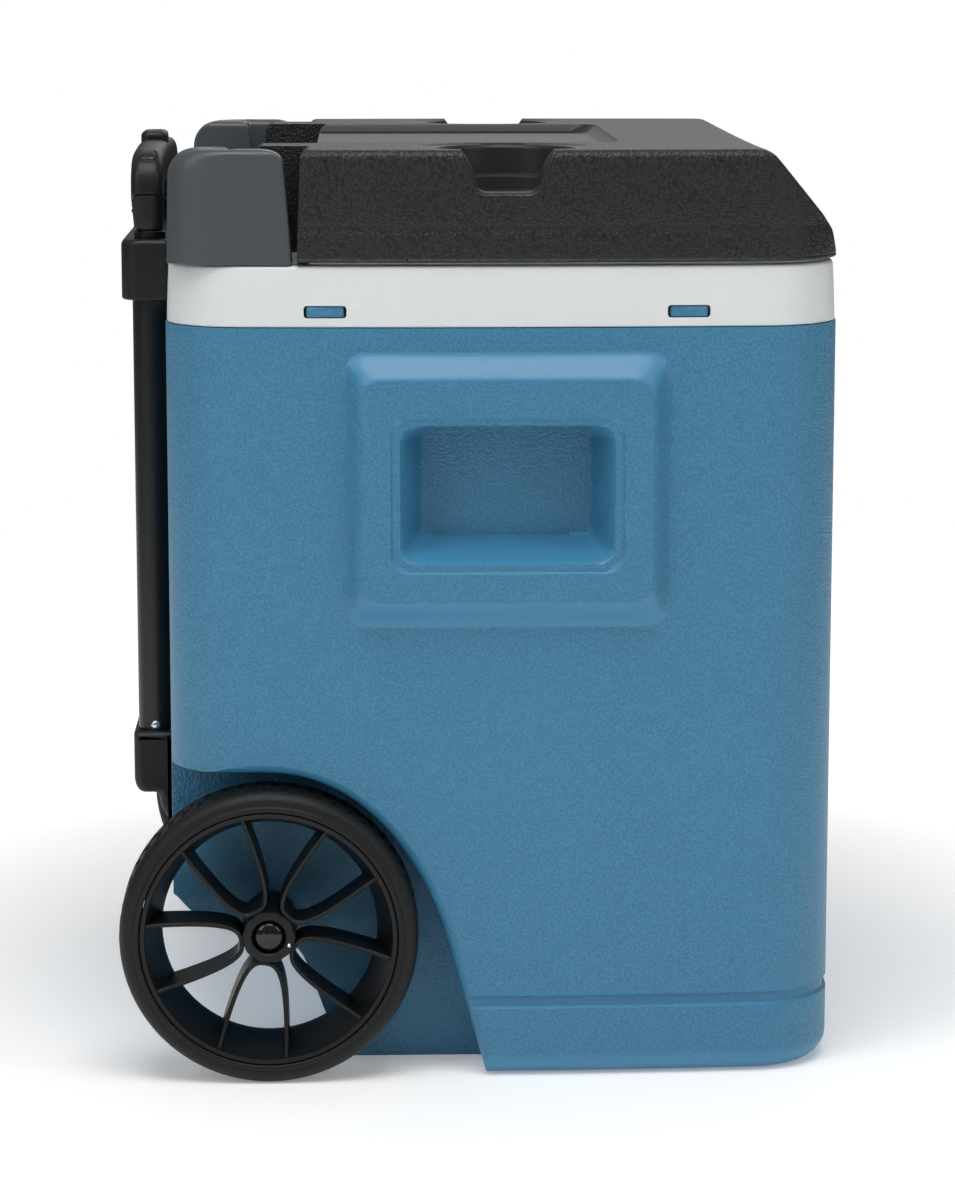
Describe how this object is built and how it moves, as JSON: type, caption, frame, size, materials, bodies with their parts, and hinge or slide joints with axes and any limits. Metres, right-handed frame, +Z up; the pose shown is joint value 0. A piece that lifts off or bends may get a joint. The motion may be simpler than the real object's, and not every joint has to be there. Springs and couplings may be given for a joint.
{
  "type": "wheeled cooler",
  "caption": "Insulated chest on two wheels with a hinged lid, side hand pockets, a drain and a two-stage pull handle.",
  "frame": {"origin": "on the floor under the middle of the whole object's box", "axes": "+X towards the front of the chest, away from the pull handle; +Y towards the chest's left side; +Z up, the longest extent"},
  "size_m": [0.4317, 0.464, 0.556],
  "materials": {
    "shell_blue": "satin",
    "liner_white": "satin",
    "lid_black": "satin",
    "cover_grey": "satin",
    "handle_black": "satin",
    "tube_black": "satin",
    "rim_black": "satin",
    "cap_black": "gloss",
    "tyre": "matte",
    "seal_rubber": "matte",
    "steel": "satin",
    "foam": "matte"
  },
  "bodies": {
    "root": {"body_shell": "shell_blue", "insulation_core": "foam", "liner_tub": "liner_white", "axle": "steel", "drain_spout": "liner_white", "drain_nut": "liner_white", "drain_gasket": "seal_rubber", "hinge_cover_right": "cover_grey", "hinge_bracket_right": "handle_black", "hinge_pin_right": "steel", "axle_cap_right": "cap_black", "wheel_washer_right": "handle_black", "hinge_cover_left": "cover_grey", "hinge_bracket_left": "handle_black", "hinge_pin_left": "steel", "axle_cap_left": "cap_black", "wheel_washer_left": "handle_black", "upper_bracket": "handle_black", "lower_bracket": "handle_black", "bracket_screw_1": "steel", "bracket_screw_2": "steel", "bracket_screw_3": "steel", "bracket_screw_4": "steel", "bracket_screw_5": "steel", "bracket_screw_6": "steel", "outer_tube_right": "tube_black", "tube_rivet_right": "steel", "outer_tube_left": "tube_black", "tube_rivet_left": "steel"},
    "lid": {"lid_shell": "lid_black", "lid_foam": "foam", "lid_liner": "liner_white"},
    "wheel_right": {"wheel_rim_right": "rim_black", "tyre_right": "tyre", "hub_pin_right": "steel"},
    "wheel_left": {"wheel_rim_left": "rim_black", "tyre_left": "tyre", "hub_pin_left": "steel"},
    "handle_middle": {"middle_tube_right": "tube_black", "middle_foot_right": "liner_white", "middle_tube_left": "tube_black", "middle_foot_left": "liner_white"},
    "handle_top": {"inner_tube_right": "tube_black", "inner_foot_right": "liner_white", "grip_screw_right": "steel", "inner_tube_left": "tube_black", "inner_foot_left": "liner_white", "grip_screw_left": "steel", "grip": "handle_black", "button_spring": "steel"},
    "button": {"push_button": "handle_black", "release_bar": "liner_white", "lock_rod_right": "steel", "lock_rod_left": "steel"},
    "drain_cap": {"drain_cap": "cover_grey"}
  },
  "joints": [
    {"name": "lid_hinge", "type": "hinge", "parent": "root", "child": "lid", "pos_m": [-0.156, 0, 0.5215], "axis": [0, -1, 0], "range_deg": [0, 90]},
    {"name": "wheel_right_spin", "type": "hinge", "parent": "root", "child": "wheel_right", "pos_m": [-0.1268, -0.211, 0.089], "axis": [0, 1, 0], "continuous": true},
    {"name": "wheel_left_spin", "type": "hinge", "parent": "root", "child": "wheel_left", "pos_m": [-0.1268, 0.211, 0.089], "axis": [0, 1, 0], "continuous": true},
    {"name": "handle_lower_slide", "type": "slide", "parent": "root", "child": "handle_middle", "axis": [0, 0, 1], "range_m": [0, 0.23]},
    {"name": "handle_upper_slide", "type": "slide", "parent": "handle_middle", "child": "handle_top", "axis": [0, 0, 1], "range_m": [0, 0.23]},
    {"name": "button_push", "type": "slide", "parent": "handle_top", "child": "button", "axis": [0, 0, -1], "range_m": [0, 0.004], "stiffness_N_per_m": 500, "springref_m": -0.005},
    {"name": "drain_cap_slide", "type": "slide", "parent": "root", "child": "drain_cap", "axis": [0, 1, 0], "range_m": [0, 0.012]}
  ]
}
